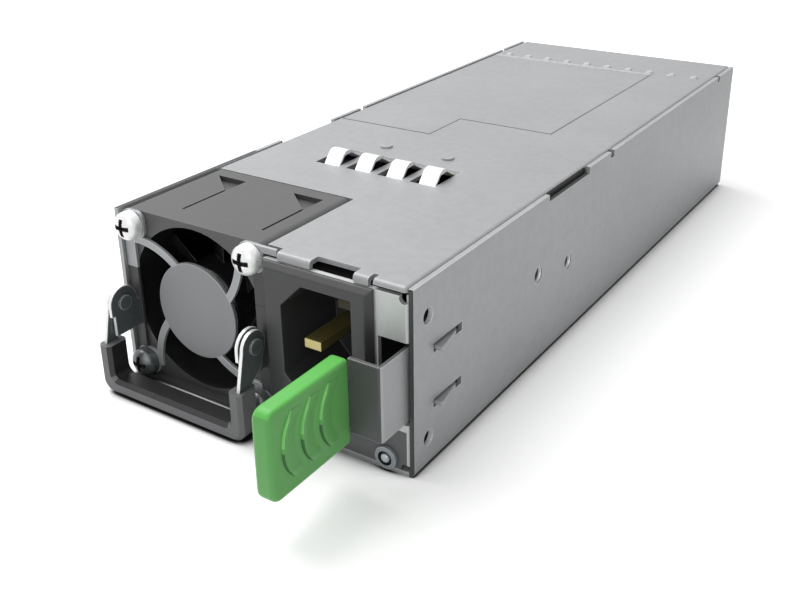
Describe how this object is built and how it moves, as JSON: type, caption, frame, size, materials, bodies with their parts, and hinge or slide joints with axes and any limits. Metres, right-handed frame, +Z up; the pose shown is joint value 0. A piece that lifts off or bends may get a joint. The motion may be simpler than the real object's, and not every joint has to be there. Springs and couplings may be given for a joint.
{
  "type": "hot swap power supply",
  "caption": "Long sheet metal power module with guarded fan, fold-down handle, inlet socket, sprung release latch, grounding fingers and a card edge at the rear.",
  "frame": {"origin": "centre of the case's underside", "axes": "+X to the latch side, +Y from the fan and inlet to the card edge, +Z up"},
  "size_m": [0.0749, 0.2234, 0.0417],
  "materials": {
    "case_steel": "zinc plated, fine grain",
    "panel_steel": "zinc plated",
    "spring_steel": "bright rolled",
    "guard_steel": "dark plated",
    "fasteners": "bright plated",
    "fan_plastic": "fine texture",
    "grip_plastic": "fine texture",
    "inlet_plastic": "satin",
    "tab_plastic": "satin green",
    "contact_brass": "bright",
    "circuit_laminate": "solder masked",
    "bearing_steel": "ground",
    "magnet_ferrite": "moulded",
    "core_iron": "laminated or sintered",
    "wound_copper": "enamelled",
    "copper_bar": "tinned edges",
    "sink_aluminium": "milled",
    "post_brass": "plated",
    "device_resin": "moulded",
    "can_sleeve": "shrink sleeve",
    "film_box": "moulded",
    "relay_box": "moulded",
    "fuse_sleeve": "ceramic look",
    "liner_film": "film",
    "plug_plastic": "natural",
    "wire_sleeve": "flexible"
  },
  "bodies": {
    "case": {"chassis_tray": "case_steel", "top_cover": "case_steel", "front_panel": "panel_steel", "grounding_fingers": "spring_steel", "strip_rivets": "fasteners", "fan_frame": "fan_plastic", "fan_bearings": "bearing_steel", "fan_stator": "core_iron", "fan_circuit_board": "circuit_laminate", "fan_lead": "wire_sleeve", "fan_connector": "plug_plastic", "fan_guard": "guard_steel", "fan_screws": "fasteners", "handle_rivets": "fasteners", "inlet_housing": "inlet_plastic", "inlet_pins": "contact_brass", "inlet_board": "circuit_laminate", "input_leads": "wire_sleeve", "latch_spring_tail": "spring_steel", "latch_rivets": "fasteners", "flange_screw": "fasteners", "rear_grille": "panel_steel", "main_board": "circuit_laminate", "edge_contacts": "contact_brass", "insulating_sheet": "liner_film", "board_standoffs": "post_brass", "board_screws": "fasteners", "input_fuse": "fuse_sleeve", "x_capacitor": "film_box", "emi_choke": "wound_copper", "inrush_relay": "relay_box", "bulk_capacitor": "can_sleeve", "pfc_choke": "wound_copper", "heat_sink_primary": "sink_aluminium", "heat_sink_secondary": "sink_aluminium", "bridge_rectifier": "device_resin", "power_transistors": "device_resin", "transformer_core": "core_iron", "transformer_winding": "wound_copper", "output_capacitors": "can_sleeve", "output_busbars": "copper_bar", "control_board": "circuit_laminate"},
    "fan": {"fan_rotor": "fan_plastic", "fan_shaft": "bearing_steel", "fan_magnet": "magnet_ferrite"},
    "handle": {"handle_arm_left": "guard_steel", "handle_arm_right": "guard_steel", "handle_grip": "grip_plastic"},
    "latch": {"latch_spring": "spring_steel", "release_tab": "tab_plastic"}
  },
  "joints": [
    {"name": "fan_spin", "type": "hinge", "parent": "case", "child": "fan", "pos_m": [-0.01655, -0.0809, 0.02], "axis": [0, 1, 0], "continuous": true},
    {"name": "handle_swing", "type": "hinge", "parent": "case", "child": "handle", "pos_m": [-0.01655, -0.0957, 0.0194], "axis": [-1, 0, 0], "range_deg": [0, 90]},
    {"name": "latch_press", "type": "hinge", "parent": "case", "child": "latch", "pos_m": [0.03495, -0.0463, 0.01965], "axis": [0, 0, -1], "range_deg": [0, 2.5], "stiffness_Nm_per_rad": 2, "springref_deg": -1.15}
  ]
}
